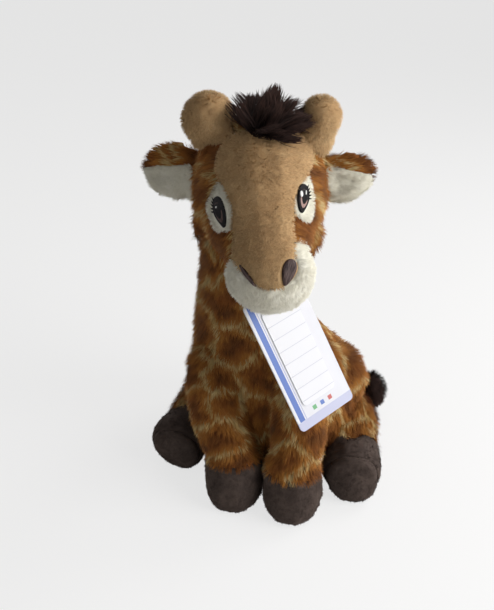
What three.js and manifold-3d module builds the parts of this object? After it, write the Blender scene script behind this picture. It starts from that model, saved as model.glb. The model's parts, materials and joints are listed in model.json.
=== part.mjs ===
// A seated plush giraffe, in millimetres, Z up. It sits on its own seat at Z = 0 and faces -Y,
// so its left side is at +X. Covers are shells of fabric round stuffing, sewn edge to edge.
import * as THREE from 'three';
import { mergeVertices } from 'three/addons/utils/BufferGeometryUtils.js';
import Module from 'manifold-3d';

const wasm = await Module();
wasm.setup();

// Fabric thickness, backing and pile together, and the gap left between pieces that touch
const furThickness = 6;
const clearance = 0.3;
const flatDepth = 0.5; // how far a stuffed form is pressed flat where it stands on the floor

// Torso: centre, half width and half depth of the stuffed body at heights up to the neck
const torsoStations = [
  { at: [0, 0, -flatDepth], half: [56, 52] },
  { at: [-1, 4, 34], half: [68, 62] },
  { at: [-1.5, 0, 70], half: [68.5, 54] },
  { at: [-15, -8, 104], half: [48.5, 46] },
  { at: [-16, -14, 138], half: [40.5, 41] },
  { at: [-15.5, -20, 170], half: [35.5, 37] },
  { at: [-12, -24, 196], half: [35, 36] },
  { at: [-9, -25, 213], half: [34, 34] },
];
const seatRounding = 18;
const neckRounding = 14;
const torsoBluntness = 2.6; // 2 makes the ends elliptical, more makes them squarer

// Neck seam: the head turns on this flat, about the neck's own axis
const neckSeam = [-11, -25, 203];
const neckAxis = [0.1, -0.08, 1];
const neckSocketRadius = 42;
const neckSocketFlare = 0.16; // extra socket radius for each millimetre below the seam
const neckSocketReach = 70;

// Head: a skull that tapers forward into a short muzzle, turned to the giraffe's left
const skullStations = [
  { at: [-16, 15, 234], half: [24, 26] },
  { at: [-13, 0, 230], half: [41, 45] },
  { at: [-7, -24, 227], half: [44.5, 50] },
  { at: [-1, -50, 221], half: [39, 41] },
  { at: [7, -74, 209], half: [27, 27] },
  { at: [13, -96, 199], half: [21, 18] },
];
const skullRounding = [22, 16];
const headSide = [0.97, 0.25, 0.05]; // across the head, square to where it faces
const skullMiddle = [-5, -30, 232];
const cheekStations = [
  { at: [-50, -30, 204], half: [22, 22] },
  { at: [-7, -42, 205], half: [26, 23] },
  { at: [39, -46, 210], half: [22, 22] },
];
const cheekRounding = [24, 24];
const muzzleStations = [
  { at: [11, -65, 203.5], half: [24, 23] },
  { at: [11, -84, 196], half: [27, 26.5] },
  { at: [13.5, -103, 190], half: [24, 22.5] },
];
const muzzleRounding = [18, 20];
const muzzleMiddle = [11, -82, 198];

// How far from where it is aimed a face piece's cut starts and ends
const panelCut = [-34, 60];
const eyeCut = [20, 90];
const nostrilCut = [8, 60];

// Face panel: its outline as the face is looked at squarely, from the brow down to the nose
const facePanelMiddle = [2, -60, 238];
const facePanelLooks = [0.23, -0.83, 0.5];
const facePanelOutline = [[2, 40], [-17, 38], [-26, 29], [-29.5, 15], [-24, 5], [-19, -8],
  [-19.5, -24], [-21, -36], [-16, -46], [-7, -55], [2, -57.5], [11, -55], [17, -48],
  [17, -30], [17, -12], [18.5, -3], [25, 9], [32, 19], [32, 31], [21, 39]];

// Eyes, nostrils and the white patches round the eyes, each aimed outward from inside the head
const eyeHalf = [5.5, 9.5];
const eyePatchHalf = [11, 17.5];
const eyeRaise = 1;
const padSink = 0.8; // how deep a sewn pad sits in the fabric under it
const eyes = {
  right: { towards: [-21.5, -78.5, 231.5], lean: -12 },
  left: { towards: [27, -62, 238.5], lean: 10 },
};
const nostrilHalf = [4, 6.5];
const nostrilRaise = 0.8;
const nostrils = {
  right: { towards: [1.5, -101, 205], lean: -35 },
  left: { towards: [23, -96, 206.5], lean: 20 },
};

// Horns: stubby cones with round ends
const horns = {
  right: { root: [-28, -26, 250], tip: [-47, -28, 286.5], stem: 14, ball: 17.5 },
  left: { root: [22, -20, 252], tip: [33.5, -18, 287], stem: 11, ball: 13 },
};
const hornThickness = 3;
const hornStemShare = 0.4; // how much of a horn is its straight stem
const hornBallShare = 0.9; // how far back from the tip a horn is widest, in ball radii

// Ears: leaves that stand out from the sides of the head, lined on the face that looks forward
const earHalfThickness = 7;
const earLining = 4;
const earLiningLooks = [0, -0.75, -0.65];
const earRounding = [4, 6];
const earProfile = [
  { share: 0, tall: 0.75, thick: 0.7 },
  { share: 0.3, tall: 1.05, thick: 1 },
  { share: 0.7, tall: 1, thick: 0.85 },
  { share: 1, tall: 0.4, thick: 0.4 },
];
const ears = {
  right: { root: [-34, -20, 232], tip: [-89, -19, 237], halfHeight: 17 },
  left: { root: [26, -14, 232], tip: [66, -12, 243], halfHeight: 14.5 },
};

// Forelock, mane, and a tail with a tuft that lies round the left thigh
const forelockStations = [
  { at: [-12, 8, 268], half: [14, 9] },
  { at: [-5, -16, 278], half: [22, 12] },
  { at: [3, -37, 273], half: [20, 11] },
  { at: [9, -52, 261], half: [12, 7] },
];
const forelockRounding = [12, 10];
const maneHalf = [7, 9];
const maneRounding = [14, 14];
const tailStations = [
  { at: [14, 58, 34], half: [7, 7] },
  { at: [40, 72, 18], half: [6.5, 6.5] },
  { at: [70, 64, 12], half: [6, 6] },
  { at: [80, 52, 16], half: [6, 6] },
];
const tailTuftStations = [
  { at: [78, 56, 12], half: [8, 8] },
  { at: [80, 49, 25], half: [12, 11] },
  { at: [79, 47, 45], half: [8, 8] },
];
const tailRounding = [4, 5];
const tailTuftRounding = [8, 8];

// Legs: stuffed limbs from shoulder or hip to hoof. The last three stations are the hoof, which
// starts at its seam. The front pair stands side by side, split at one X.
const legSplit = 8;
const legRounding = [16, 9];
const legBluntness = 2.6;
const soleThickness = 4;
const legs = {
  front_right: [
    { at: [-37, -28, 118], half: [19, 19] },
    { at: [-36, -44, 86], half: [24, 22] },
    { at: [-29, -57, 56], half: [22, 21] },
    { at: [-18, -68, 38], half: [20, 18] },
    { at: [-15, -71, 20], half: [22.5, 20] },
    { at: [-15, -71, -flatDepth], half: [21, 19] },
  ],
  front_left: [
    { at: [24, -36, 118], half: [19, 19] },
    { at: [29, -51, 86], half: [22, 22] },
    { at: [30, -62, 56], half: [21.5, 20] },
    { at: [29, -72, 38], half: [20, 18] },
    { at: [28.5, -75, 20], half: [22.5, 20] },
    { at: [28.5, -75, -flatDepth], half: [21, 19] },
  ],
};

// The back legs lie on the floor, one on each side, soles forward
const backLegOut = { right: 63, left: 69 };
for (const [name, side] of [['right', -1], ['left', 1]]) {
  const out = backLegOut[name];
  legs[`back_${name}`] = [
    { at: [side * (out - 20), 20, 29.5], half: [28, 30] },
    { at: [side * (out - 7), -6, 27], half: [27, 27] },
    { at: [side * out, -28, 21.5], half: [20, 21.5] },
    { at: [side * (out + 1), -44, 21.5], half: [21.5, 22] },
    { at: [side * (out + 2), -63, 21.5], half: [20.5, 21.5] },
  ];
}

// Swing tag: a card held to the front of the neck by a plastic fastener, with a plain sticker
const tagMiddle = [29.8, -72, 134.5];
const tagTurn = { pitch: -27.8, roll: -13.6, yaw: 40.9 };
const tagSize = [45, 92, 1.2];
const tagCorner = 3;
const tagHoleFromTop = 5;
const tagHoleRadius = 2.2;
const stickerSize = [27, 68, 0.4];
const stickerMiddle = [0, 2.5];
const filamentRadius = 0.6;
const barRadius = 1;
const barLength = 7;
const filamentReach = [3.5, 16]; // in front of the card, and back into the neck

// How finely the round forms are drawn
const torsoGrid = { rings: 13, sides: 16 };
const headGrid = { rings: 10, sides: 15 };
const limbGrid = { rings: 8, sides: 10 };
const smallGrid = { rings: 7, sides: 9 };
const insideShare = 0.7; // how much coarser the hidden faces of covers and their stuffing are
const outlineSteps = 5;
const rodSides = 8;
const cornerSteps = 4;
const farCut = 500; // longer than the toy, for cuts that take all beyond a flat

function vector(values) {
  return new THREE.Vector3(...values);
}

// A closed geometry as a solid that can be joined and cut
function toSolid(geometry) {
  for (const name of Object.keys(geometry.attributes)) {
    if (name !== 'position') geometry.deleteAttribute(name);
  }
  const merged = mergeVertices(geometry, 1e-5);
  return new wasm.Manifold(new wasm.Mesh({
    numProp: 3,
    vertProperties: new Float32Array(merged.attributes.position.array),
    triVerts: new Uint32Array(merged.index.array),
  }));
}

// How far a round end has opened, as a share, at a distance in from its pole
function endRounding(distance, radius, blunt) {
  const left = 1 - THREE.MathUtils.clamp(distance / radius, 0, 1);
  return Math.pow(1 - Math.pow(left, blunt), 1 / blunt);
}

// A stuffed form: rings round a smooth middle line that swell and taper through the stations'
// half sizes, closed by round ends. Growing it moves the whole surface out, or in when negative.
function stuffedForm({ stations, side, rounding, blunt = 2, grid }, grow = 0) {
  const middle = new THREE.CatmullRomCurve3(stations.map((station) => vector(station.at)));
  const halves = new THREE.CatmullRomCurve3(
    stations.map((station) => new THREE.Vector3(...station.half, 0)), false, 'catmullrom');
  const length = middle.getLength();
  const reach = length + 2 * grow;
  const { rings, sides } = grid;
  const positions = [];
  for (let ring = 0; ring <= rings; ring++) {
    const walked = reach * (1 - Math.cos(Math.PI * ring / rings)) / 2;
    const onLine = THREE.MathUtils.clamp(walked - grow, 0, length);
    const t = middle.getUtoTmapping(onLine / length);
    const forward = middle.getTangent(t);
    const centre = middle.getPoint(t).addScaledVector(forward, walked - grow - onLine);
    const across = vector(side).addScaledVector(forward, -forward.dot(vector(side))).normalize();
    const deep = forward.clone().cross(across);
    const half = halves.getPoint(t);
    const opened = endRounding(walked, rounding[0] + grow, blunt)
      * endRounding(reach - walked, rounding[1] + grow, blunt);
    const corners = ring === 0 || ring === rings ? 1 : sides;
    for (let corner = 0; corner < corners; corner++) {
      const angle = 2 * Math.PI * corner / sides;
      const point = centre.clone()
        .addScaledVector(across, (half.x + grow) * opened * Math.cos(angle))
        .addScaledVector(deep, (half.y + grow) * opened * Math.sin(angle));
      positions.push(...point.toArray());
    }
  }
  const index = [];
  const last = positions.length / 3 - 1;
  const corner = (ring, k) => 1 + (ring - 1) * sides + (k % sides);
  for (let k = 0; k < sides; k++) {
    index.push(0, corner(1, k + 1), corner(1, k));
    index.push(last, corner(rings - 1, k), corner(rings - 1, k + 1));
    for (let ring = 1; ring < rings - 1; ring++) {
      index.push(corner(ring, k), corner(ring, k + 1), corner(ring + 1, k));
      index.push(corner(ring, k + 1), corner(ring + 1, k + 1), corner(ring + 1, k));
    }
  }
  const geometry = new THREE.BufferGeometry();
  geometry.setAttribute('position', new THREE.Float32BufferAttribute(positions, 3));
  geometry.setIndex(index);
  return toSolid(geometry);
}

function joined(forms, grow = 0) {
  return forms.map((form) => stuffedForm(form, grow)).reduce((whole, next) => whole.add(next));
}

// The inside of a set of covers of a given thickness, which is drawn more coarsely
function insideOf(forms, thickness) {
  return joined(forms.map((form) => ({
    ...form,
    grid: {
      rings: Math.round(form.grid.rings * insideShare),
      sides: Math.round(form.grid.sides * insideShare),
    },
  })), -thickness);
}

// The fabric round a set of forms, and the stuffing inside it
function fabricOf(forms, thickness = furThickness) {
  return joined(forms).subtract(insideOf(forms, thickness));
}

function stuffingOf(forms, thickness = furThickness) {
  return insideOf(forms, thickness + clearance);
}

// Everything on the far side of a flat, starting a gap beyond it
function beyond(point, normal, gap = 0) {
  const box = new THREE.BoxGeometry(farCut, farCut, farCut);
  box.translate(0, 0, farCut / 2 + gap);
  box.applyQuaternion(new THREE.Quaternion().setFromUnitVectors(
    new THREE.Vector3(0, 0, 1), vector(normal).normalize()));
  box.translate(...point);
  return toSolid(box);
}

// A prism of an outline, pushed along a direction from one depth to another. The outline's own
// upright leans clockwise by the given degrees, as seen from in front of it.
function prism(outline, from, direction, depths, lean = 0) {
  const [near, far] = depths;
  const geometry = new THREE.ExtrudeGeometry(outline, {
    depth: far - near, bevelEnabled: false, curveSegments: outlineSteps,
  });
  geometry.translate(0, 0, near);
  geometry.rotateZ(-THREE.MathUtils.degToRad(lean));
  const towards = vector(direction).normalize();
  const right = new THREE.Vector3(0, 0, 1).cross(towards).normalize();
  const up = towards.clone().cross(right);
  geometry.applyMatrix4(new THREE.Matrix4().makeBasis(right, up, towards).setPosition(vector(from)));
  return toSolid(geometry);
}

function oval(half, grow = 0) {
  const shape = new THREE.Shape();
  shape.absellipse(0, 0, half[0] + grow, half[1] + grow, 0, 2 * Math.PI);
  return shape;
}

// The largest of the bodies that a cut leaves
function mainBody(solid) {
  return solid.decompose().reduce((best, body) => (body.volume() > best.volume() ? body : best));
}

const toy = new THREE.Group();

function addPiece(name, solid, colour, roughness = 0.95) {
  const mesh = mainBody(solid).getMesh();
  const points = new THREE.BufferAttribute(new Float32Array(mesh.vertProperties), 3);
  const geometry = new THREE.BufferGeometry();
  geometry.setAttribute('position', points);
  geometry.setIndex(new THREE.BufferAttribute(new Uint32Array(mesh.triVerts), 1));
  geometry.computeVertexNormals();
  const material = new THREE.MeshStandardMaterial({ color: colour, roughness, metalness: 0 });
  const piece = new THREE.Mesh(geometry, material);
  piece.name = name;
  toy.add(piece);
}

// Colours of the fabrics, the stuffing and the tag
const patchBrown = 0x9a5423;
const faceTan = 0xc9a06a;
const velourWhite = 0xe8e4d4;
const hoofBrown = 0x3f3434;
const darkHair = 0x2e2222;
const stuffingWhite = 0xf2f0ea;
const cardGrey = 0xe6e6ec;
const stickerWhite = 0xf8f8f4;
const filamentWhite = 0xdfe3e6;

const torso = {
  stations: torsoStations,
  side: [1, 0, 0],
  rounding: [seatRounding, neckRounding],
  blunt: torsoBluntness,
  grid: torsoGrid,
};
const floor = beyond([0, 0, 0], [0, 0, -1]);
const aboveNeckSeam = beyond(neckSeam, neckAxis);
const torsoClear = stuffedForm(torso, clearance).subtract(aboveNeckSeam);

function makeTorso() {
  addPiece('torso_cover', fabricOf([torso]).subtract(aboveNeckSeam).subtract(floor)
    .subtract(fastener(clearance)), patchBrown);
  addPiece('torso_stuffing', stuffingOf([torso]).subtract(aboveNeckSeam)
    .subtract(fastener(clearance)), stuffingWhite);
  const backRidge = torsoStations.slice(2, 7).map(({ at, half }) => ({
    at: [at[0], at[1] + half[1], at[2]],
    half: maneHalf,
  }));
  const mane = { stations: backRidge, side: [1, 0, 0], rounding: maneRounding, grid: smallGrid };
  addPiece('mane', stuffedForm(mane).subtract(torsoClear).subtract(aboveNeckSeam), darkHair);
}

// Where the neck stands in the head: wide enough that the head can turn on the neck seam
function neckSocket() {
  const widest = neckSocketRadius + neckSocketFlare * neckSocketReach;
  const cone = new THREE.CylinderGeometry(neckSocketRadius, widest, neckSocketReach, torsoGrid.sides * 2);
  cone.translate(0, clearance - neckSocketReach / 2, 0);
  cone.applyQuaternion(new THREE.Quaternion().setFromUnitVectors(
    new THREE.Vector3(0, 1, 0), vector(neckAxis).normalize()));
  cone.translate(...neckSeam);
  return toSolid(cone);
}

const skull = { stations: skullStations, side: headSide, rounding: skullRounding, grid: headGrid };
const muzzle = { stations: muzzleStations, side: headSide, rounding: muzzleRounding, grid: headGrid };
const cheeks = { stations: cheekStations, side: [0, 1, 0], rounding: cheekRounding, grid: limbGrid };
const headForms = [skull, cheeks, muzzle];

function hornForm({ root, tip, stem, ball }) {
  const along = (share) => vector(root).lerp(vector(tip), share).toArray();
  const length = vector(root).distanceTo(vector(tip));
  const stations = [
    { at: along(0), half: [stem, stem] },
    { at: along(hornStemShare), half: [stem, stem] },
    { at: along(1 - hornBallShare * ball / length), half: [ball, ball] },
    { at: along(1), half: [ball, ball] },
  ];
  return { stations, side: [1, 0, 0], rounding: [stem / 2, ball], grid: smallGrid };
}

function earForm({ root, tip, halfHeight }) {
  const stations = earProfile.map(({ share, tall, thick }) => ({
    at: vector(root).lerp(vector(tip), share).toArray(),
    half: [halfHeight * tall, earHalfThickness * thick],
  }));
  return { stations, side: [0, 0, 1], rounding: earRounding, grid: smallGrid };
}

// The face panel's outline, made bigger or smaller all round
function panelShape(grow) {
  return new THREE.Shape(facePanelOutline.map(([x, y]) => {
    const length = Math.hypot(x, y);
    return new THREE.Vector2(x, y).multiplyScalar((length + grow) / length);
  }));
}

function panelPrism(grow = 0) {
  return prism(panelShape(grow), facePanelMiddle, facePanelLooks, panelCut);
}

// A prism of an oval aimed at a point of the face from a point inside the head
function aimedOval(aim, middle, half, cut, grow = 0) {
  const outward = vector(aim.towards).sub(vector(middle)).toArray();
  return prism(oval(half, grow), middle, outward, cut, aim.lean);
}

// A pad that stands out of the fabric of the head within an outline, and the pocket that it sits in
function padIn(outline, raise) {
  return joined(headForms, raise).subtract(joined(headForms, -padSink)).intersect(outline(0));
}

function pocketOf(outline) {
  return outline(clearance).subtract(joined(headForms, -padSink - clearance));
}

function makeHorn(side, outside) {
  const horn = hornForm(horns[side]);
  addPiece(`horn_cover_${side}`, fabricOf([horn], hornThickness).subtract(outside), faceTan);
  addPiece(`horn_stuffing_${side}`, stuffingOf([horn], hornThickness).subtract(outside), stuffingWhite);
}

function makeEar(side, outside) {
  const { root, tip } = ears[side];
  const ear = stuffedForm(earForm(ears[side])).subtract(outside)
    .subtract(stuffedForm(hornForm(horns[side]), clearance));
  const liningStart = vector(root).lerp(vector(tip), 0.5)
    .addScaledVector(vector(earLiningLooks).normalize(), earHalfThickness - earLining).toArray();
  addPiece(`ear_back_${side}`, ear.subtract(beyond(liningStart, earLiningLooks, -clearance)), patchBrown);
  addPiece(`ear_lining_${side}`, ear.intersect(beyond(liningStart, earLiningLooks)), velourWhite);
}

function makeHead() {
  const sides = ['right', 'left'];
  const outside = joined(headForms, clearance);
  const fabric = fabricOf(headForms).subtract(neckSocket());
  const patch = (side) => (grow) => aimedOval(eyes[side], skullMiddle, eyePatchHalf, eyeCut, grow);
  const eye = (side) => (grow) => aimedOval(eyes[side], skullMiddle, eyeHalf, eyeCut, grow);
  const nostril = (side) => (grow) => aimedOval(nostrils[side], muzzleMiddle, nostrilHalf, nostrilCut, grow);
  const both = (make) => sides.map(make).reduce((one, other) => one.add(other));
  const pockets = both((side) => pocketOf(eye(side)).add(pocketOf(nostril(side))));
  const patches = both((side) => patch(side)(clearance));
  const clearOfPanel = panelPrism(clearance).add(pockets);

  addPiece('head_cover', fabric.subtract(stuffedForm(muzzle, clearance)).subtract(clearOfPanel)
    .subtract(patches), patchBrown);
  addPiece('face_panel', fabric.intersect(panelPrism()).subtract(pockets), faceTan);
  addPiece('muzzle_cover', fabric.intersect(stuffedForm(muzzle)).subtract(clearOfPanel)
    .subtract(patches), velourWhite);
  addPiece('head_stuffing', stuffingOf(headForms).subtract(neckSocket()), stuffingWhite);
  for (const side of sides) {
    addPiece(`eye_patch_${side}`, fabric.intersect(patch(side)(0)).subtract(clearOfPanel), velourWhite);
    addPiece(`eye_${side}`, padIn(eye(side), eyeRaise), darkHair, 0.4);
    addPiece(`nostril_${side}`, padIn(nostril(side), nostrilRaise), hoofBrown, 0.6);
    makeHorn(side, outside);
    makeEar(side, outside);
  }
  const forelock = {
    stations: forelockStations,
    side: headSide,
    rounding: forelockRounding,
    grid: smallGrid,
  };
  addPiece('forelock', stuffedForm(forelock).subtract(outside)
    .subtract(both((side) => stuffedForm(hornForm(horns[side]), clearance))), darkHair);
}

function legForm(stations) {
  return { stations, side: [1, 0, 0], rounding: legRounding, blunt: legBluntness, grid: limbGrid };
}

function makeLeg(name, stations) {
  const form = legForm(stations);
  const [seam, , end] = stations.slice(-3).map((station) => vector(station.at));
  const along = end.clone().sub(seam).normalize();
  const solePlane = end.clone().addScaledVector(along, -soleThickness);
  const past = (point, gap) => beyond(point.toArray(), along.toArray(), gap);
  const keep = (solid) => {
    const clear = solid.subtract(torsoClear).subtract(floor);
    if (name.startsWith('back')) return clear;
    return clear.subtract(beyond([legSplit, 0, 0], [name.endsWith('right') ? 1 : -1, 0, 0], -clearance / 2));
  };
  const fabric = keep(fabricOf([form]));
  addPiece(`${name}_leg_cover`, fabric.subtract(past(seam, -clearance)), patchBrown);
  addPiece(`${name}_hoof`, fabric.intersect(past(seam)).subtract(past(solePlane, -clearance)), hoofBrown);
  addPiece(`${name}_sole`, fabric.intersect(past(solePlane)), hoofBrown);
  addPiece(`${name}_leg_stuffing`, keep(stuffingOf([form])), stuffingWhite);
}

function makeTail() {
  const cover = { stations: tailStations, side: [0, 0, 1], rounding: tailRounding, grid: smallGrid };
  const tuft = { stations: tailTuftStations, side: [1, 0, 0], rounding: tailTuftRounding, grid: smallGrid };
  const thigh = stuffedForm(legForm(legs.back_left), clearance);
  addPiece('tail_cover', stuffedForm(cover).subtract(torsoClear).subtract(thigh)
    .subtract(stuffedForm(tuft, clearance)), patchBrown);
  addPiece('tail_tuft', stuffedForm(tuft).subtract(thigh), darkHair);
}

// Places a geometry drawn on the tag's own plane: X across it, Z up it, Y into its back
function onTag(geometry) {
  const { pitch, roll, yaw } = tagTurn;
  const radians = THREE.MathUtils.degToRad;
  geometry.applyMatrix4(new THREE.Matrix4().makeRotationFromEuler(
    new THREE.Euler(radians(pitch), radians(roll), radians(yaw), 'ZXY')));
  geometry.translate(...tagMiddle);
  return toSolid(geometry);
}

function sheet(size, corner, hole, middle, behind) {
  const [width, height, thickness] = size;
  const shape = new THREE.Shape();
  const x = width / 2;
  const y = height / 2;
  shape.moveTo(-x + corner, -y);
  shape.lineTo(x - corner, -y);
  shape.absarc(x - corner, -y + corner, corner, -Math.PI / 2, 0);
  shape.lineTo(x, y - corner);
  shape.absarc(x - corner, y - corner, corner, 0, Math.PI / 2);
  shape.lineTo(-x + corner, y);
  shape.absarc(-x + corner, y - corner, corner, Math.PI / 2, Math.PI);
  shape.lineTo(-x, -y + corner);
  shape.absarc(-x + corner, -y + corner, corner, Math.PI, 1.5 * Math.PI);
  if (hole) shape.holes.push(hole);
  const geometry = new THREE.ExtrudeGeometry(shape, {
    depth: thickness, bevelEnabled: false, curveSegments: cornerSteps,
  });
  geometry.rotateX(Math.PI / 2);
  geometry.translate(middle[0], behind, middle[1]);
  return onTag(geometry);
}

// The fastener is a filament with a bar across each end. The top of the card's hole hangs on it.
function fastener(grow = 0) {
  const [front, back] = filamentReach;
  const [, height, thickness] = tagSize;
  const rod = (radius, length) => new THREE.CylinderGeometry(
    radius + grow, radius + grow, length + 2 * grow, rodSides);
  const hangs = height / 2 - tagHoleFromTop + tagHoleRadius - filamentRadius - clearance;
  const filament = rod(filamentRadius, front + back).translate(0, (back - front) / 2, 0);
  const bars = [-front, back].map((y) => rod(barRadius, barLength).rotateZ(Math.PI / 2).translate(0, y, 0));
  return [filament, ...bars].map((piece) => onTag(piece.translate(0, thickness / 2, hangs)))
    .reduce((whole, next) => whole.add(next));
}

function makeTag() {
  const [, height, thickness] = tagSize;
  const hole = new THREE.Path();
  hole.absellipse(0, height / 2 - tagHoleFromTop, tagHoleRadius, tagHoleRadius, 0, 2 * Math.PI);
  addPiece('tag_card', sheet(tagSize, tagCorner, hole, [0, 0], thickness), cardGrey, 0.5);
  addPiece('tag_sticker', sheet(stickerSize, tagCorner, null, stickerMiddle, -clearance), stickerWhite, 0.4);
  addPiece('tag_fastener', fastener(), filamentWhite, 0.3);
}

makeTorso();
makeHead();
for (const [name, stations] of Object.entries(legs)) makeLeg(name, stations);
makeTail();
makeTag();

export default toy;
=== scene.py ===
# A seated plush giraffe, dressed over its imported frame. Metres, +Z up, the giraffe faces -Y.
import json
import math
from contextlib import contextmanager
import bpy
import bmesh
import numpy as np
from mathutils import Matrix, Vector
from mathutils.bvhtree import BVHTree
from mathutils.kdtree import KDTree


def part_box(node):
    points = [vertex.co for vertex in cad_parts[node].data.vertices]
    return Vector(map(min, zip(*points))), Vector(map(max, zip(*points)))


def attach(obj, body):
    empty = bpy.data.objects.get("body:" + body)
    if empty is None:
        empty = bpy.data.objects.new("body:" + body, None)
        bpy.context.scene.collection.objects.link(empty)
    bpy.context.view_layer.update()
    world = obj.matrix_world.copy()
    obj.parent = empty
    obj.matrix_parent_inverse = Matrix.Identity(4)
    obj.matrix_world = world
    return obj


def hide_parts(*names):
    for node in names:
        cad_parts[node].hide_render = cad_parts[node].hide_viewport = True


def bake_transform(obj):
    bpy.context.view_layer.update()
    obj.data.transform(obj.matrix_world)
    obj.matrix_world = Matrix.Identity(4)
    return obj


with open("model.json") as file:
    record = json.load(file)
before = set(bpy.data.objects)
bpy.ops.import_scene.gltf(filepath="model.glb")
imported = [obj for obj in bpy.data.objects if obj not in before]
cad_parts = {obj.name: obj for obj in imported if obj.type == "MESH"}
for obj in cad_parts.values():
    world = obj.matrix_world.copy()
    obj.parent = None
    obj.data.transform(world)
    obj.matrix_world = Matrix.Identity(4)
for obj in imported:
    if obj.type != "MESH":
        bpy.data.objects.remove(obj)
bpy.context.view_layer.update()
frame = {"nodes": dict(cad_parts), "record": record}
scene = bpy.context.scene
mm = 0.001
sides = ("right", "left")
floorGap = 0.1  # mm, so that nothing presses through the floor it sits on

# camera and studio

camera = {
    "target": (-19, -8.6, 130),  # mm
    "azimuth": 12,  # degrees round from straight in front, towards the giraffe's left
    "elevation": 30,
    "distance": 520,  # mm
    "focalPixels": 700,
    "frameWidth": 494,
    "frameHeight": 610,
    "sensor": 36,
}
studio = {
    "keyPower": 6.5, "keySize": 0.7, "keyPlace": (0.78, -0.2, 0.46),
    "fillPower": 0.25, "fillSize": 0.9, "fillPlace": (-0.6, -0.85, 0.5),
    "rimPower": 3.0, "rimSize": 0.5, "rimPlace": (0.6, 0.45, 0.8),
    "worldLight": 0.22,
    "floorColour": "#f4f3f1", "floorSize": 8, "floorGlow": 0.72, "aim": (0, 0, 0.13),
}


def onSphere(azimuth, elevation):
    a, e = math.radians(azimuth), math.radians(elevation)
    return Vector((math.sin(a) * math.cos(e), -math.cos(a) * math.cos(e), math.sin(e)))


def makeCamera():
    outward = onSphere(camera["azimuth"], camera["elevation"])
    data = bpy.data.cameras.new("photoCamera")
    data.sensor_width = camera["sensor"]
    data.lens = camera["sensor"] * camera["focalPixels"] / camera["frameHeight"]
    eye = bpy.data.objects.new("photoCamera", data)
    eye.location = (Vector(camera["target"]) + outward * camera["distance"]) * mm
    eye.rotation_euler = (-outward).to_track_quat("-Z", "Y").to_euler()
    scene.collection.objects.link(eye)
    scene.camera = eye


makeCamera()


# small tools


def linearColour(hexCode):
    parts = [int(hexCode[k:k + 2], 16) / 255 for k in (1, 3, 5)]
    return (*[p / 12.92 if p <= 0.04045 else ((p + 0.055) / 1.055) ** 2.4 for p in parts], 1)


def addNode(material, kind, links=None, **settings):
    # adds one node, sets its settings, then fills or links its inputs; a colour is given as its hex code
    tree = material.node_tree
    node = tree.nodes.new(f"ShaderNode{kind}")
    for key, value in settings.items():
        setattr(node, key, value)
    for key, value in (links or {}).items():
        socket = node.inputs[key]
        if isinstance(value, bpy.types.NodeSocket):
            tree.links.new(value, socket)
        else:
            socket.default_value = linearColour(value) if isinstance(value, str) else value
    return node


def useOnly(*pieces):
    # selects the pieces, and makes the first of them the active one
    bpy.ops.object.select_all(action="DESELECT")
    for piece in pieces:
        piece.select_set(True)
    bpy.context.view_layer.objects.active = pieces[0]


def joined(*pieces):
    useOnly(*pieces)
    if len(pieces) > 1:
        bpy.ops.object.join()
    return pieces[0]


def inEditMode(piece, operate, **settings):
    useOnly(piece)
    bpy.ops.object.mode_set(mode="EDIT")
    bpy.ops.mesh.select_all(action="SELECT")
    operate(**settings)
    bpy.ops.object.mode_set(mode="OBJECT")


def applyModifier(piece, kind, **settings):
    modifier = piece.modifiers.new(kind.lower(), kind)
    for key, value in settings.items():
        setattr(modifier, key, value)
    useOnly(piece)
    bpy.ops.object.modifier_apply(modifier=modifier.name)


def newPiece(name, mesh):
    piece = bpy.data.objects.new(name, mesh)
    scene.collection.objects.link(piece)
    return piece


def numbersOf(collection, attribute, width, kind=np.float32):
    found = np.empty(len(collection) * width, kind)
    collection.foreach_get(attribute, found)
    return found.reshape(-1, width)


def placesOf(piece):
    return numbersOf(piece.data.vertices, "co", 3)


def setNumbers(collection, attribute, numbers, kind=np.float32):
    collection.foreach_set(attribute, np.asarray(numbers, kind).ravel())


def addAttribute(mesh, name, numbers, kind="FLOAT", domain="POINT"):
    attribute = mesh.attributes.new(name, kind, domain)
    setNumbers(attribute.data, "vector" if kind == "FLOAT_VECTOR" else "value", numbers)


def unit(vectors):
    return vectors / np.maximum(np.linalg.norm(vectors, axis=-1, keepdims=True), 1e-12)


def surfaceOf(piece):
    return BVHTree.FromObject(piece, bpy.context.evaluated_depsgraph_get())


@contextmanager
def opened(mesh):
    # the mesh as a bmesh, which is written back afterwards
    work = bmesh.new()
    work.from_mesh(mesh)
    yield work
    work.to_mesh(mesh)
    work.free()


def volumeOf(piece):
    with opened(piece.data) as work:
        return work.calc_volume()


# fabrics and other finishes


def newMaterial(name):
    material = bpy.data.materials.new(name)
    material.use_nodes = True
    material.node_tree.nodes.clear()
    return material


def finishMaterial(material, colour, roughness, bump=None, bumpDepth=0.3, sheen=0.0, sheenTint="#ffffff",
                   specular=0.3):
    shader = addNode(material, "BsdfPrincipled", {
        "Base Color": colour, "Roughness": roughness, "Specular IOR Level": specular,
        "Sheen Weight": sheen, "Sheen Roughness": 0.5, "Sheen Tint": sheenTint})
    if bump is not None:
        raised = addNode(material, "Bump", {
            "Height": bump, "Strength": bumpDepth, "Distance": 0.5 * mm})
        material.node_tree.links.new(raised.outputs["Normal"], shader.inputs["Normal"])
    addNode(material, "OutputMaterial", {"Surface": shader.outputs[0]})
    return material


def placeOf(material):
    return addNode(material, "TexCoord").outputs["Object"]


def noiseOf(material, size, detail=2.0, roughness=0.5, place=None):
    # noise whose lumps are about size millimetres across
    return addNode(material, "TexNoise", {
        "Vector": placeOf(material) if place is None else place, "Scale": 1 / (size * mm), "Detail": detail,
        "Roughness": roughness}).outputs["Fac"]


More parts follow.
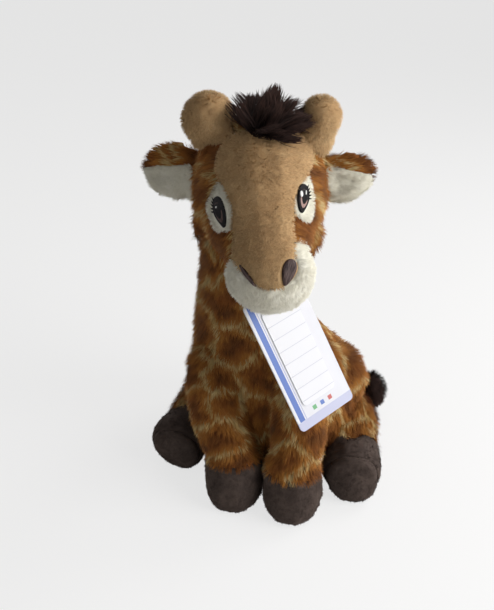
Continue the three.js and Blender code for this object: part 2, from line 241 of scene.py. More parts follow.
def ramp(material, value, stops):
    node = addNode(material, "ValToRGB", {"Fac": value})
    elements = node.color_ramp.elements
    while len(elements) < len(stops):
        elements.new(0.5)
    for element, (position, hexCode) in zip(elements, stops):
        element.position = position
        element.color = linearColour(hexCode)
    return node.outputs["Color"]


def mixed(material, share, first, second, kind="MIX"):
    return addNode(material, "Mix", {0: share, 6: first, 7: second},
                   data_type="RGBA", blend_type=kind).outputs[2]


def mathOf(material, operation, first, second=0.0):
    return addNode(material, "Math", {0: first, 1: second}, operation=operation).outputs[0]


def times(material, first, second):
    return mathOf(material, "MULTIPLY", first, second)


def mapped(material, value, low, high, start=0.0, kind="LINEAR"):
    # start up to low, 1 from high
    return addNode(material, "MapRange", {0: value, 1: low, 2: high, 3: start, 4: 1.0},
                   interpolation_type=kind).outputs[0]


def attributeOf(material, name, output="Fac"):
    return addNode(material, "Attribute", attribute_name=name).outputs[output]


def pileShade(material, colour, rootShade, tips, tipShare):
    # roots lie in the shadow of the pile, and the tips catch the light
    pile = attributeOf(material, "pile")
    colour = mixed(material, times(material, mathOf(material, "POWER", pile, 2.0), tipShare), colour, tips)
    shade = times(material, mapped(material, pile, 0, 1, rootShade), attributeOf(material, "tone"))
    return mixed(material, 1.0, colour, shade, "MULTIPLY")


# printed polyester plush with a sheared pile: brown patches fade through rust into cream lines, with soft
# borders because each fibre leans over its neighbours; "fromLine" is the distance to the nearest line in mm
plushPrint = {
    "cream": ("#cba766", "#e8d29a"), "rust": ("#9c5c22", "#c08039"), "brown": ("#643615", "#925320"),
    "stops": (0.3, 2.6, 4.0, 10.0),  # mm from the line: end of cream, start and end of rust, start of brown
    "fleck": 2.4, "fleckShift": 1.7, "mottle": 8,  # mm
}


def patchedPlush():
    material = newMaterial("printedPolyesterPlush")
    place = attributeOf(material, "rootPlace", "Vector")
    fleck = mathOf(material, "SUBTRACT", noiseOf(material, plushPrint["fleck"], place=place), 0.5)
    inwards = mathOf(material, "ADD", attributeOf(material, "fromLine"),
                     times(material, fleck, 2 * plushPrint["fleckShift"]))
    mottle = noiseOf(material, plushPrint["mottle"], 3.0, place=place)
    cream, rust, brown = (ramp(material, mottle, [(0.35, plushPrint[key][0]), (0.65, plushPrint[key][1])])
                          for key in ("cream", "rust", "brown"))
    creamEnd, rustStart, rustEnd, brownStart = plushPrint["stops"]
    toRust = mapped(material, inwards, creamEnd, rustStart, kind="SMOOTHSTEP")
    toBrown = mapped(material, inwards, rustEnd, brownStart, kind="SMOOTHSTEP")
    colour = mixed(material, toBrown, mixed(material, toRust, cream, rust), brown)
    return finishMaterial(material, pileShade(material, colour, 0.55, "#d9a866", 0.12), 0.85, sheen=0.2,
                          sheenTint="#e8c9a0", specular=0.2)


def shortPile(name, base, nap, tips, rootShade, napSize=14, tipShare=0.35):
    # velour: a short upright pile; the light and shade of its nap, brushed this way and that, is painted into
    # its colour as soft clouds, and pale specks of the tips' colour are painted highlights where fibre tips
    # catch the light
    material = newMaterial(name)
    napLightAndShade = noiseOf(material, napSize, 3.0, 0.6)
    speck = noiseOf(material, 1.6, 2.0, 0.6)
    # painted light and shade of the brushed nap, as soft clouds
    colour = ramp(material, napLightAndShade, [(0.3, nap[0]), (0.5, base), (0.7, nap[1])])
    # painted highlights: specks of the tips' colour where fibre tips catch the light
    colour = mixed(material, times(material, speck, 0.35), colour, tips)
    return finishMaterial(material, pileShade(material, colour, rootShade, tips, tipShare), 0.8, bump=speck,
                          bumpDepth=0.15, sheen=0.3, sheenTint=tips, specular=0.15)


def longPile():
    # long brushed faux fur, nearly black at the roots and brown where the light gets through the tips
    material = newMaterial("brushedLongPileFur")
    locks = noiseOf(material, 5)
    colour = ramp(material, locks, [(0.3, "#241815"), (0.6, "#33231f"), (0.8, "#463129")])
    return finishMaterial(material, pileShade(material, colour, 0.45, "#563d33", 0.25), 0.7, specular=0.12)


def fibreFill():
    # loose polyester stuffing: matted white fibre, soft and slightly glossy in the hollows
    material = newMaterial("loosePolyesterFibre")
    strands = noiseOf(material, 2.2, 6.0, 0.75)
    colour = ramp(material, strands, [(0.3, "#d9d7d0"), (0.6, "#f1efea"), (0.8, "#fbfaf7")])
    return finishMaterial(material, colour, 0.7, bump=strands, bumpDepth=0.8, sheen=0.2)


def stitchThread(name, hexCode, shadeHex, specular=0.22):
    # rayon thread in satin stitch: threads laid side by side along the oval, 0.4 mm apart and drawn at 0.8 mm
    # so that they show; "stitch" holds the place on the oval in mm, across the threads and along them
    material = newMaterial(name)
    drawnOut = addNode(material, "Mapping", {
        "Vector": attributeOf(material, "stitch", "Vector"), "Scale": (1 / 0.8, 1 / 6, 1)}).outputs[0]
    streaks = addNode(material, "TexNoise", {
        "Vector": drawnOut, "Scale": 1.0, "Detail": 2.0, "Roughness": 0.6}).outputs["Fac"]
    colour = ramp(material, streaks, [(0.38, shadeHex), (0.62, hexCode)])
    return finishMaterial(material, colour, 0.5, bump=streaks, bumpDepth=0.4, specular=specular)


threads = {
    "black": stitchThread("blackRayonThread", "#100c0d", "#080607", 0.12),
    "brown": stitchThread("brownRayonThread", "#54413d", "#392a28"),
    "rose": stitchThread("roseBrownRayonThread", "#b3938a", "#94766d"),
    "white": stitchThread("whiteRayonThread", "#f6f5f2", "#dedcd8"),
    "nostril": stitchThread("mauveBrownRayonThread", "#604e4a", "#2d2121"),
}
fabrics = {
    "patched_fur": patchedPlush(),
    "tan_velour": shortPile("tanVelour", "#cda26d", ("#bf935f", "#d8b17d"), "#efd4aa", 0.64),
    "white_velour": shortPile("whiteVelour", "#ebe6d2", ("#dfd9c3", "#f3efdf"), "#fdfbf1", 0.86),
    "hoof_velour": shortPile("darkBrownVelour", "#3f3430", ("#322825", "#534640"), "#78685f", 0.62, 11, 0.25),
    "dark_long_pile": longPile(),
    "stuffing": fibreFill(),
}
print("fabrics ready")


# soft forms: the smooth stuffed shapes, taken from the frame's own solids

grown = 0.4  # mm that a solid grows before the union, so that sewn neighbours meet across their gap
sameCorner = 0.005  # mm
seam = {"depth": 0.8, "leastFaces": 14, "borderRounds": 6, "rings": (1.0, 0.55, 0.2)}  # depth in mm
# the end of a part inside its neighbour: mm, and how much shorter its pile is
hiddenPlan = {"coarser": 1.3, "rounds": 8, "inset": 0.8, "near": 3.2, "under": 9, "shorter": 0.65}
fillPlan = {"coarser": 1.4, "rounds": 6, "inset": 1.0, "padded": 0.8}


def joinedCopies(name, nodes, fillers):
    parts = []
    for place, radius in fillers:
        bpy.ops.mesh.primitive_uv_sphere_add(radius=radius * mm, location=Vector(place) * mm)
        bpy.ops.object.transform_apply(location=True)
        parts.append(bpy.context.active_object)
    for node in nodes:
        part = newPiece(f"{name}_{node}", frame["nodes"][node].data.copy())
        part.data.materials.clear()
        middle = Matrix.Translation(sum((Vector(corner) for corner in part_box(node)), Vector()) / 2)
        shares, shift = drawnOut.get(node, ((1, 1, 1), (0, 0, 0)))
        moved = Matrix.Translation(Vector(shift) * mm) @ middle
        part.data.transform(moved @ Matrix.Diagonal((*shares, 1)) @ middle.inverted())
        parts.append(part)
        inEditMode(part, bpy.ops.mesh.remove_doubles, threshold=sameCorner * mm)
        applyModifier(part, "DISPLACE", strength=grown * mm, mid_level=0)
    return joined(*parts)


def largestPart(piece):
    inEditMode(piece, bpy.ops.mesh.separate, type="LOOSE")
    parts = list(bpy.context.selected_objects)
    kept = max(parts, key=lambda part: sum(part.dimensions))
    for part in parts:
        if part != kept:
            bpy.data.meshes.remove(part.data)
    return kept


def softForm(name, nodes, voxel, rounds, inset=0.0, fillers=()):
    # the union of some solids, with their facets smoothed away and their volume kept
    form = joinedCopies(name, nodes, fillers)
    applyModifier(form, "REMESH", mode="VOXEL", voxel_size=voxel * mm)
    form = largestPart(form)
    form.name = name
    before = volumeOf(form)
    applyModifier(form, "SMOOTH", factor=0.5, iterations=rounds)
    area = sum(face.area for face in form.data.polygons)
    back = (before - volumeOf(form)) / area - grown * mm
    applyModifier(form, "DISPLACE", strength=back - inset * mm, mid_level=0)
    return form


def edgesOf(mesh):
    return numbersOf(mesh.edges, "vertices", 2, np.int32)


def averaged(mesh, values, rounds):
    # each corner's value becomes the mean of its own and its neighbours'
    edges = edgesOf(mesh)
    count = np.bincount(edges.ravel(), minlength=len(values))[:, None] + 1
    for _ in range(rounds):
        total = values.copy()
        np.add.at(total, edges[:, 0], values[edges[:, 1]])
        np.add.at(total, edges[:, 1], values[edges[:, 0]])
        values = total / count
    return values


def smoothStep(values, start, end):
    share = ((values - start) / (end - start)).clip(0, 1)
    return share * share * (3 - 2 * share)


def nearTo(places, place, reach):
    # 1 at a place, and nothing from reach mm away
    return 1 - smoothStep(np.linalg.norm(places - np.array(place) * mm, axis=1) / mm, 0.3 * reach, reach)


def nearestNode(form, nodes, widen, claims):
    # which solid each corner of the form belongs to; widen gives a solid some mm of its neighbours' cloth, a
    # claim gives it what lies round a place
    places = placesOf(form)
    trees = [surfaceOf(frame["nodes"][node]) for node in nodes]
    away = np.array([[tree.find_nearest(Vector(p))[3] for tree in trees] for p in places])
    away -= np.array([widen.get(node, 0) * mm for node in nodes])
    for node, place, reach in claims:
        if node in nodes:
            away[:, nodes.index(node)] -= nearTo(places, place, reach) * reach * mm
    return averaged(form.data, away, 6).argmin(1)


def nearest(places, targets):
    # for each place, which target is the nearest, and how far off it is
    tree = KDTree(len(targets))
    for index, place in enumerate(targets):
        tree.insert(place, index)
    tree.balance()
    found = [tree.find(place) for place in places]
    return np.array([hit[1] for hit in found]), np.array([hit[2] for hit in found])


def smoothNear(form, weights, rounds):
    near = form.vertex_groups.new(name="smoothed")
    for index in np.flatnonzero(weights > 0.01):
        near.add([int(index)], float(weights[index]), "REPLACE")
    applyModifier(form, "SMOOTH", factor=0.5, iterations=rounds, vertex_group=near.name)


def filletBorders(form, groups, reach, rounds):
    # smooths the form near the lines where two sewn parts meet, so that they swell into one another
    edges = edgesOf(form.data)
    border = np.unique(edges[groups[edges[:, 0]] != groups[edges[:, 1]]])
    if len(border):
        co = placesOf(form)
        away = nearest(co, co[border])[1] / mm
        smoothNear(form, 1 - smoothStep(away, 0.4 * reach, reach), rounds)


def rollRim(form, node, reach, rounds):
    # rounds the form near a neighbour's solid, so that its rim rolls in to the seam between them
    tree = surfaceOf(frame["nodes"][node])
    away = np.array([tree.find_nearest(vert.co)[3] for vert in form.data.vertices]) / mm
    smoothNear(form, 1 - smoothStep(away, 0.4 * reach, reach), rounds)


def moveIn(mesh, depths):
    # moves each corner against its normal by its depth in mm, and keeps it above the floor
    co, normals = (numbersOf(mesh.vertices, key, 3) for key in ("co", "normal"))
    co = co - normals * depths.reshape(-1, 1) * mm
    co[:, 2] = co[:, 2].clip(floorGap * mm)
    setNumbers(mesh.vertices, "co", co)
    mesh.update()


def cutPieces(form, nodes, labels, wanted):
    # one open skin for each wanted solid, with its borders sunk into a seam
    skins = {}
    for node in wanted:
        skins[node] = newPiece(f"{node}_skin", form.data.copy())
        with opened(skins[node].data) as work:
            gone = []
            for face in work.faces:
                votes = np.bincount([labels[vert.index] for vert in face.verts], minlength=len(nodes))
                if votes.argmax() != nodes.index(node):
                    gone.append(face)
            bmesh.ops.delete(work, geom=gone, context="FACES")
            if gone:
                keepIslands(work, seam["leastFaces"])
                smoothBorder(work, seam["borderRounds"])
                sinkBorder(work)
    return skins


def keepIslands(work, least):
    # takes out loose bits of fewer faces than least, but never the largest
    left, islands = set(work.faces), []
    for first in work.faces:
        ring = {first} & left
        island = set(ring)
        while ring:
            ring = {other for face in ring for edge in face.edges for other in edge.link_faces} - island
            island |= ring
        left -= island
        if island:
            islands.append(island)
    islands.sort(key=len)
    for island in islands[:-1]:
        if len(island) < least:
            bmesh.ops.delete(work, geom=list(island), context="FACES")


def smoothBorder(work, rounds):
    for _ in range(rounds):
        moved = {}
        for vert in work.verts:
            rim = [edge.other_vert(vert).co for edge in vert.link_edges if edge.is_boundary]
            if len(rim) == 2:
                moved[vert] = vert.co * 0.5 + (rim[0] + rim[1]) * 0.25
        for vert, place in moved.items():
            vert.co = place


def sinkBorder(work):
    # the skin dips towards its seam over some rings of corners
    work.normal_update()
    ring = {vert for vert in work.verts if vert.is_boundary}
    seen = set(ring)
    moved = {}
    for share in seam["rings"]:
        for vert in ring:
            moved[vert] = vert.co - vert.normal * seam["depth"] * mm * share
        ring = {edge.other_vert(vert) for vert in ring for edge in vert.link_edges} - seen
        seen |= ring
    for vert, place in moved.items():
        vert.co = place


# pile: real strands on a skin, combed, clumped and cut to length


def growPile(skin, pile, seed, bare):
    # strands as narrow blades: their corners, normals, map places and shades
    rng = np.random.default_rng(seed)
    mesh = skin.data
    mesh.calc_loop_triangles()
    co, normals = (numbersOf(mesh.vertices, key, 3) for key in ("co", "normal"))
    triangles, loops = (numbersOf(mesh.loop_triangles, key, 3, np.int32) for key in ("vertices", "loops"))
    uv = numbersOf(mesh.uv_layers["OFBake"].uv, "vector", 2)[loops]
    a, b, c = (co[triangles[:, k]] for k in range(3))
    areas = np.linalg.norm(np.cross(b - a, c - a), axis=1) / 2
    count = int(areas.sum() * 1e4 * pile["density"])
    chosen = rng.choice(len(areas), count, p=areas / areas.sum())
    r1, r2 = np.sqrt(rng.random(count)), rng.random(count)
    weights = np.stack([1 - r1, r1 * (1 - r2), r1 * r2], 1)
    root = np.einsum("nk,nkd->nd", weights, co[triangles[chosen]])
    clear = ~np.any([shape(root) for shape in bare], axis=0) if bare else np.ones(count, bool)
    root, weights, chosen = root[clear], weights[clear], chosen[clear]
    count = len(root)
    outward = unit(np.einsum("nk,nkd->nd", weights, normals[triangles[chosen]]))
    rootUv = np.einsum("nk,nkd->nd", weights, uv[chosen])
    comb = pile["comb"](root)
    along = comb - (comb * outward).sum(1, keepdims=True) * outward
    centres = rng.choice(count, max(1, int(count / pile["perClump"])), replace=False)
    clump = nearest(root, root[centres])[0]
    sway = rng.normal(size=(len(centres), 3))[clump] * pile["sway"]
    along = unit(unit(along) + sway + 0.1 * rng.normal(size=root.shape))
    lean = pile["lean"] * (1 + 0.15 * rng.normal(size=(count, 1)))
    stray = pile["stray"] * rng.normal(size=root.shape)
    rising = unit(outward * (1 - lean) + along * lean + stray + 0.4 * sway)
    length = pile["length"] * mm * (1 + pile["uneven"] * rng.normal(size=(count, 1)).clip(-2, 2))
    if "hidden" in mesh.attributes:
        faces = numbersOf(mesh.loop_triangles, "polygon_index", 1, np.int32)[chosen, 0]
        length *= 1 - hiddenPlan["shorter"] * numbersOf(mesh.attributes["hidden"].data, "value", 1)[faces]
    fall = along * length * pile["droop"]
    tip = root + rising * length + fall
    pull = pile["clump"] * rng.uniform(0.4, 1, (count, 1))
    tip = tip * (1 - pull) + tip[centres[clump]] * pull
    bend = root + rising * length * 0.55
    axis = unit(tip - root)
    across = unit(np.cross(axis, outward) + 1e-6)
    twist = rng.uniform(-pile["twist"], pile["twist"], (count, 1))
    across = unit(across * np.cos(twist) + np.cross(axis, across) * np.sin(twist))
    half = pile["width"] * mm / 2 * rng.uniform(0.75, 1.25, (count, 1))
    foot = root - outward * 0.3 * mm
    steps = pile["steps"]
    rings, heights = [], []
    for k in range(steps):
        t = k / steps
        middle = foot * (1 - t) ** 2 + bend * 2 * t * (1 - t) + tip * t ** 2
        rings += [middle - across * half * (1 - 0.3 * t), middle + across * half * (1 - 0.3 * t)]
        heights += [t, t]
    corners = np.stack(rings + [tip], 1)
    corners[..., 2] = corners[..., 2].clip(floorGap * mm)
    shading = unit(outward + 0.3 * np.cross(across, axis) + 0.08 * rng.normal(size=outward.shape))
    size = 2 * steps + 1
    tones = np.repeat(rng.uniform(1 - pile["tone"], 1 + pile["tone"], (count, 1)), size, 1)
    return {"corners": corners.reshape(-1, 3), "normals": np.repeat(shading, size, 0), "count": count,
            "root": root, "uv": rootUv, "pile": np.tile(heights + [1.0], count), "tone": tones.ravel()}


def furred(name, skin, pile, seed, bare=(), thickness=1.6, patches=None):
    # the skin with its wall, and its strands, as one piece
    skin.data.uv_layers.new(name="OFBake")
    inEditMode(skin, bpy.ops.uv.smart_project, angle_limit=math.radians(66), island_margin=0.01)
    strands = growPile(skin, pile, seed, bare)
    if thickness:
        applyModifier(skin, "SOLIDIFY", thickness=thickness * mm, offset=-1, use_rim=True)
    old = skin.data
    co = numbersOf(old.vertices, "co", 3)
    loopVerts = numbersOf(old.loops, "vertex_index", 1, np.int32)[:, 0]
    starts = numbersOf(old.polygons, "loop_start", 1, np.int32)[:, 0]
    count, steps = strands["count"], pile["steps"]
    size = 2 * steps + 1
    first = len(co) + size * np.arange(count)[:, None]
    strips = [first + [2 * k, 2 * k + 1, 2 * k + 3, 2 * k + 2] for k in range(steps - 1)]
    strips.append(first + [2 * steps - 2, 2 * steps - 1, 2 * steps])
    perStrand = 4 * (steps - 1) + 3
    strandStarts = len(loopVerts) + (perStrand * np.arange(count)[:, None] + 4 * np.arange(steps)).ravel()
    mesh = bpy.data.meshes.new(name)
    for collection, attribute, numbers, kind in (
            (mesh.vertices, "co", (co, strands["corners"]), np.float32),
            (mesh.loops, "vertex_index", (loopVerts, np.concatenate(strips, 1).ravel()), np.int32),
            (mesh.polygons, "loop_start", (starts, strandStarts), np.int32)):
        numbers = np.concatenate(numbers)
        collection.add(len(numbers))
        setNumbers(collection, attribute, numbers, kind)
    setNumbers(mesh.polygons, "use_smooth", np.ones(len(mesh.polygons)), bool)
    mesh.update(calc_edges=True)
    ownUv = numbersOf(old.uv_layers["OFBake"].uv, "vector", 2)
    layer = mesh.uv_layers.new(name="OFBake")
    setNumbers(layer.uv, "vector", np.concatenate([ownUv, np.repeat(strands["uv"], perStrand, 0)]))
    roots = np.repeat(strands["root"], size, 0)
    addAttribute(mesh, "rootPlace", np.concatenate([co, roots]), "FLOAT_VECTOR")
    addAttribute(mesh, "pile", np.concatenate([np.full(len(co), 0.5), strands["pile"]]))
    addAttribute(mesh, "tone", np.concatenate([np.ones(len(co)), strands["tone"]]))
    if patches is not None:
        rootLines = np.repeat(fromLine(strands["root"], patches), size)
        addAttribute(mesh, "fromLine", np.concatenate([fromLine(co, patches), rootLines]))
    normals = np.concatenate([numbersOf(old.vertices, "normal", 3), strands["normals"]])
    mesh.normals_split_custom_set_from_vertices(normals)
    piece = newPiece(name, mesh)
    bpy.data.meshes.remove(old)
    return piece


def combAlong(*direction):
    return lambda root: np.tile(np.array(direction, float), (len(root), 1))


def combFrom(place, extra=(0, 0, 0)):
    # pile that radiates from a place, with a lean towards the extra direction
    return lambda root: unit(root - np.array(place) * mm) + np.array(extra)


# how each fabric's pile is cut and brushed: lengths and widths in mm, density in strands a square centimetre
piles = {
    "plush": {"length": 5.0, "width": 0.42, "density": 150, "lean": 0.62, "stray": 0.06, "uneven": 0.08,
        "perClump": 16, "clump": 0.14, "sway": 0.13, "droop": 0.25, "tone": 0.1, "twist": 0.25},
    "velour": {"length": 2.2, "width": 0.3, "density": 260, "lean": 0.32, "stray": 0.1, "uneven": 0.12,
        "perClump": 14, "clump": 0.12, "sway": 0.16, "tone": 0.1, "twist": 0.3},
    "fluff": {"length": 2.5, "width": 0.34, "density": 230, "lean": 0.5, "stray": 0.06, "uneven": 0.12,
        "perClump": 22, "clump": 0.28, "sway": 0.22, "tone": 0.04, "twist": 0.2},
    "nap": {"length": 1.1, "width": 0.32, "density": 210, "lean": 0.6, "stray": 0.08, "uneven": 0.15,
        "perClump": 9, "clump": 0.2, "sway": 0.3, "tone": 0.12, "twist": 0.3},
    "long": {"length": 14, "width": 0.75, "density": 95, "lean": 0.3, "stray": 0.07, "uneven": 0.2,
        "perClump": 22, "clump": 0.6, "sway": 0.3, "droop": 0.1, "tone": 0.3, "twist": 0.5, "steps": 4},
}
pileOf = {"patched_fur": "plush", "tan_velour": "velour", "white_velour": "fluff", "hoof_velour": "nap",
          "eye_patch_right": "velour", "eye_patch_left": "velour"}


def pileFor(kind, plan):
    return {"droop": 0.2, "steps": 2, **piles[kind], **plan}


# the coat's pattern: patch middles given as pixels on the photograph, and scattered where it doesn't show
# them
coat = {
    "spacing": 30, "wobble": 2.6, "wobbleLength": 19,  # mm
    "bodyPixels": (
        (204, 262), (219, 297), (201, 330), (232, 345), (193, 370), (222, 378), (256, 372), (197, 404),
        (228, 402), (221, 434), (202, 467), (243, 464), (257, 408), (272, 430), (286, 460), (317, 434),
        (313, 478), (330, 348), (349, 356), (361, 380), (350, 408), (374, 404), (333, 430), (362, 432),
        (377, 446)),
    "headPixels": (
        (197, 215), (206, 243), (220, 250), (307, 228), (323, 224), (327, 203), (322, 172), (196, 190),
        (188, 160), (152, 155), (171, 147), (350, 157), (336, 164), (370, 156), (213, 140), (330, 140)),
}


def pixelRay(pixel):
    # the photograph's camera: where it stands, and the direction through one of its pixels
    outward = onSphere(camera["azimuth"], camera["elevation"])
    right = (-outward).cross(Vector((0, 0, 1))).normalized()
    up = right.cross(-outward)
    across, down = pixel[0] - camera["frameWidth"] / 2, pixel[1] - camera["frameHeight"] / 2
    stand = (Vector(camera["target"]) + outward * camera["distance"]) * mm
    return stand, (-outward * camera["focalPixels"] + right * across - up * down).normalized()


def patchMiddles(forms, pixels, seed):
    rng = np.random.default_rng(seed)
    surfaces = [surfaceOf(form) for form in forms]
    middles = []
    for pixel in pixels:
        hits = [surface.ray_cast(*pixelRay(pixel)) for surface in surfaces]
        hits = [hit for hit in hits if hit[0]]
        if hits:
            middles.append(np.array(min(hits, key=lambda hit: hit[3])[0]))
    places = np.concatenate([placesOf(form) for form in forms])
    for place in rng.permutation(places):
        if np.linalg.norm(np.array(middles) - place, axis=1).min() > coat["spacing"] * mm:
            middles.append(place)
    return np.array(middles)


def fromLine(places, middles):
    # distance in mm to the nearest border between two patches
    turned = np.roll(places, 1, axis=1) / (coat["wobbleLength"] * mm) * 2 * math.pi
    moved = places + coat["wobble"] * mm * (np.sin(turned) + 0.5 * np.sin(2.3 * turned + 1))
    found = np.empty(len(places))
    for start in range(0, len(places), 20000):
        some = moved[start:start + 20000]
        away = np.linalg.norm(some[:, None] - middles[None], axis=2)
        order = np.argsort(away, 1)[:, :2]
        first, second = (np.take_along_axis(away, order[:, k:k + 1], 1)[:, 0] for k in (0, 1))
        apart = np.linalg.norm(middles[order[:, 0]] - middles[order[:, 1]], axis=1)
        found[start:start + 20000] = (second ** 2 - first ** 2) / (2 * apart) / mm
    return found


slotOf = {part["node"]: part["material_slot"] for part in frame["record"]["subparts"]}
bodyOf = {node: body for body, nodes in frame["record"]["behaviour"]["bodies"].items() for node in nodes}
# an ear's root is sewn to the head, and the ear would bend between these two places (mm) as it droops; the
# script reads only the ears' body names, whose pieces it bakes in place instead of hanging them on a body's
# empty
bends = {
    "ear_right": ("head", (-49, -20, 224), (-64, -20, 224)),
    "ear_left": ("head", (35, -14, 228), (48, -14, 228)),
}


def seat(piece, node):
    # which body carries the piece, and which solid it stands for
    body = bodyOf[node]
    if body in bends:
        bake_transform(piece)
    else:
        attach(piece, body)
    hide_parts(node)


def dress(piece, node):
    piece.data.materials.clear()
    piece.data.materials.append(fabrics[slotOf[node]])
    seat(piece, node)


# ovals sewn on the face: their middles come from the frame, their leans and half sizes from the photograph
skullMiddle = (-5, -30, 232)  # mm
muzzleMiddle = (11, -82, 198)
ovals = {
    "eye_right": {"from": skullMiddle, "lean": -40, "half": (5.4, 8.6), "shift": (0, 0), "taper": (0.1, 0.3)},
    "eye_left": {"from": skullMiddle, "lean": 39, "half": (5.7, 8.2), "shift": (-1.1, 0.3),
        "taper": (0, 0.3)},
    "nostril_right": {"from": muzzleMiddle, "lean": -52, "half": (1.5, 7), "shift": (-0.5, -1),
        "taper": (0.5, 0.5)},
    "nostril_left": {"from": muzzleMiddle, "lean": 25, "half": (4.6, 7.4), "shift": (0, 0),
        "taper": (0, 0.5)},
}


def ovalAxes(node):
    plan = ovals[node]
    low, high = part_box(node)
    middle = (Vector(low) + Vector(high)) / 2
    towards = (middle - Vector(plan["from"]) * mm).normalized()
    right = Vector((0, 0, 1)).cross(towards).normalized()
    up = towards.cross(right)
    middle += (right * plan["shift"][0] + up * plan["shift"][1]) * mm
    cos, sin = math.cos(math.radians(plan["lean"])), math.sin(math.radians(plan["lean"]))
    return middle, right * cos - up * sin, up * cos + right * sin, towards


def bareOval(node, margin=1.2):
    # no pile grows under the embroidery
    middle, right, up, towards = (np.array(v) for v in ovalAxes(node))
    wide, tall = (half + margin for half in ovals[node]["half"])

    def inside(root):
        away = (root - middle) / mm
        return ((away @ right / wide) ** 2 + (away @ up / tall) ** 2 < 1) & (np.abs(away @ towards) < 14)
    return inside


# one entry for each stuffed part: its solids, its pile's direction, and in mm how far its skin lies below the
# solid's face, how far a solid's cloth reaches past its own border, and how deep the middle of an ear is; an
# ear is first drawn out by these shares of its box and moved, because smoothing takes some of its rim away
drawnOut = {f"ear_{part}_{side}": ((0.97, 1.2, 1.22), (0, 0, -1.2))
            for part in ("back", "lining") for side in sides}
parts = {
    "torso": {"nodes": ["torso_cover"], "inside": ["torso_stuffing"], "comb": combAlong(0, 0, -1),
              "press": {"torso_cover": 2.0}},
    "head": {"nodes": ["head_cover", "face_panel", "muzzle_cover", "eye_patch_right", "eye_patch_left"],
        "inside": ["head_stuffing"], "comb": combAlong(0, 0.5, -1), "press": {"head_cover": 1.8},
        "bare": list(ovals)},
    "tail": {"nodes": ["tail_cover"], "inside": [], "comb": combAlong(0.9, -0.3, 0.1),
        "press": {"tail_cover": 1.6}},
}
for side, outwards in zip(sides, (-1, 1)):
    parts[f"horn_{side}"] = {"nodes": [f"horn_cover_{side}"], "inside": [f"horn_stuffing_{side}"],
        "comb": combAlong(0, 0.2, -1), "press": {f"horn_cover_{side}": -0.7}}
    parts[f"ear_{side}"] = {"nodes": [f"ear_back_{side}", f"ear_lining_{side}"], "inside": [],
        "comb": combAlong(outwards, 0, 0.1), "press": {f"ear_back_{side}": 1.4},
        "hollow": {f"ear_lining_{side}": 0.9}, "widen": {f"ear_lining_{side}": 3.0}}
    for end, comb in (("front", combAlong(0, 0, -1)), ("back", combAlong(0, -0.8, -0.6))):
        leg = f"{end}_{side}"
        cover, hoof, sole = f"{leg}_leg_cover", f"{leg}_hoof", f"{leg}_sole"
        parts[leg] = {"nodes": [cover, hoof, sole], "inside": [f"{leg}_leg_stuffing"], "comb": comb,
            "press": {cover: 2.0, hoof: -1.4, sole: -1.0},
            "widen": {sole: 4 if end == "back" else 0}}

# parts sewn to one another are drawn as one smooth form and then cut at their seams; touches press it in or
# let it out round a place (place, reach and depth in mm), and claims move a seam round one
wholes = {
    "body": {"main": "torso", "others": [f"{end}_{side}" for end in ("front", "back") for side in sides],
        "voxel": 2.2, "rounds": 10, "inset": 0.9, "reach": 16, "fillet": 50, "pixels": "bodyPixels",
        "fillers": (((2, -47, 15), 9),),  # behind the front legs
        "touches": (
            ((41, 15, 107), 26, 6.0), ((66, 3, 77), 26, -6.0), ((70, 0, 62), 22, -4.0),  # the back's slope
            ((-39, -44, 195), 14, -2.5), ((-42, -16, 191), 17, -2.5), ((-34, 8, 193), 17, -2.5),
            ((-10, 17, 193), 17, -2.5), ((18, 6, 194), 17, -2.5), ((28, -20, 196), 17, -2.5),
            ((20, -47, 197), 14, -2.0),  # so far round the neck's seam, under the head's rim
            ((-15, -89, 9), 24, -4.0), ((30, -93, 7), 22, -3.0),  # toes of the front hooves
            ((72, -60, 8), 24, -4.0), ((-72, -60, 8), 20, 3.0), ((-82, -45, 34), 18, -2.5),
            ((-68, -22, 44), 18, -2.5), ((84, -4, 38), 16, -2.0), ((48, -50, 22), 16, -3.0),  # back legs
            ((1, -76, 38), 13, -3.0), ((13, -80, 40), 13, -3.0)),  # between the front legs
        "claims": (("back_left_leg_cover", (67, -31, 43), 10),)},
    "rear": {"main": "tail", "others": [], "voxel": 2.0, "rounds": 10, "inset": 0.9, "reach": 0, "fillet": 0,
        "pixels": "bodyPixels"},
    "top": {"main": "head", "others": [f"{part}_{side}" for part in ("horn", "ear") for side in sides],
        "voxel": 1.6, "rounds": 12, "inset": 0.6, "reach": 12, "fillet": 40, "pixels": "headPixels",
        "rimBy": ("torso_cover", 9, 30),
        "ironed": (((-6, -58, 254), 30, 30), ((-47, -42, 207), 14, 25)),  # brow, and rim under the cheek
        "fillers": (((-29, -27, 262), 13.5), ((-38, -28, 262), 13),
            ((28, -20, 260), 10.5), ((19, -21, 265), 10)),  # where the horns stand on the crown
        "touches": (
            ((-45, -46, 221), 14, -2.0), ((33, -56, 201), 12, 3.0), ((36, -40, 226), 14, -1.5),  # cheeks
            ((34, -84, 208), 14, -1.6), ((-80, -22, 223), 11, -3.5), ((-68, -22, 220), 11, -2.0),
            ((45, -15, 224), 11, -2.5), ((56, -15, 228), 10, -2.0), ((50, -13, 251), 10, 2.0)),  # ears
        "claims": (
            ("muzzle_cover", (29.5, -81, 212.5), 12), ("horn_cover_right", (-25, -41, 267), 11),
            ("eye_patch_right", (-32, -66.5, 230), 6), ("head_cover", (-18, -82.5, 215), 9),
            ("eye_patch_left", (22.5, -69, 237), 5), ("eye_patch_left", (31.5, -48, 249), 6),
            ("head_cover", (28.5, -74.5, 224.5), 8))},
}


def touched(mesh, plan):
    # how deep the touches press in each corner, in mm
    co = numbersOf(mesh.vertices, "co", 3)
    return sum((depth * nearTo(co, place, reach) for place, reach, depth in plan.get("touches", ())),
               np.zeros(len(co)))[:, None]


